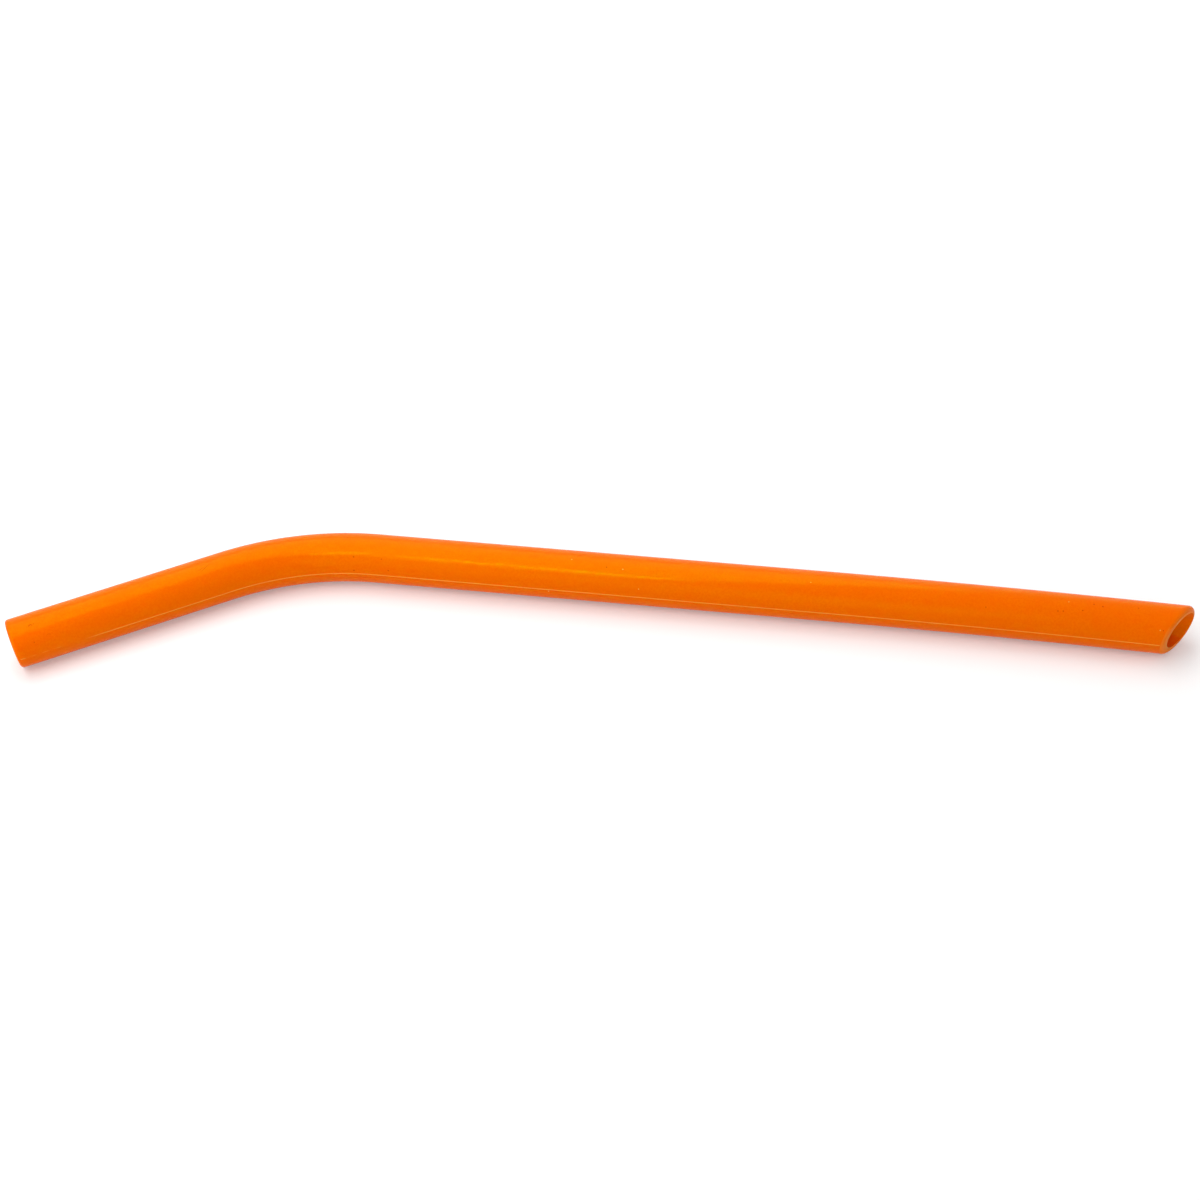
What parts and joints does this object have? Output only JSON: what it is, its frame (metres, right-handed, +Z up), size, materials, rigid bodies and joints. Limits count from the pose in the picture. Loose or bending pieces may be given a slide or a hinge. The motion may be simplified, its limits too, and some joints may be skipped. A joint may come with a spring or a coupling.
{
  "type": "silicone drinking straw",
  "caption": "Reusable bent silicone drinking straw: a soft orange tube with a nearly square mouth end, a moulded bend and a slanted lower end.",
  "frame": {"origin": "on the surface the straw lies on, under the centre of its bounding box", "axes": "+Z up, +X along the straight long leg towards the slanted end; the mouth end points back towards -X and -Y"},
  "size_m": [0.2316, 0.0432, 0.01],
  "materials": {
    "silicone": "satin"
  },
  "bodies": {
    "root": {"straw": "silicone"}
  },
  "joints": []
}
